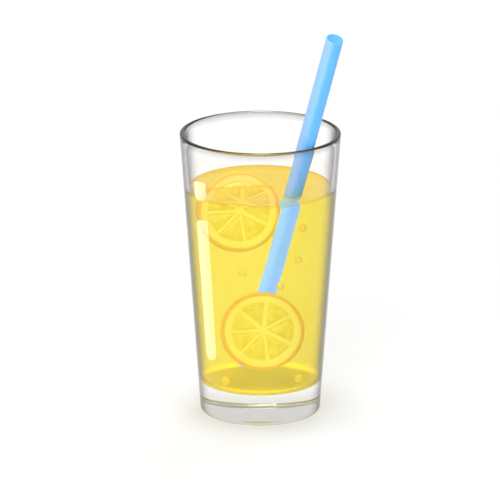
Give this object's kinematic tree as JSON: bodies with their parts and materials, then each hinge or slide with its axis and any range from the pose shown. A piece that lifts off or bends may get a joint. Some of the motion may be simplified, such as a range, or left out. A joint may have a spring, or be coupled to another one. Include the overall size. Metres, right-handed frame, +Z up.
{
  "type": "glass of lemonade",
  "caption": "Tapered clear tumbler with a thick base, filled with cloudy yellow lemonade, with a drinking straw that leans on the rim and a wheel of lemon floating on edge.",
  "frame": {"origin": "centre of the glass's foot, in the plane it stands on", "axes": "+Z up along the glass's axis; -Y to the front, from where the drink is looked at; +X to the right"},
  "size_m": [0.0891, 0.1013, 0.2286],
  "materials": {
    "glass": "clear, polished",
    "lemonade": "cloudy yellow liquid with a wet surface",
    "straw": "glossy light blue plastic",
    "lemon": "wet cut lemon, yellow rind"
  },
  "bodies": {
    "root": {"glass": "glass", "lemonade": "lemonade", "straw": "straw", "lemon_slice": "lemon"}
  },
  "joints": []
}
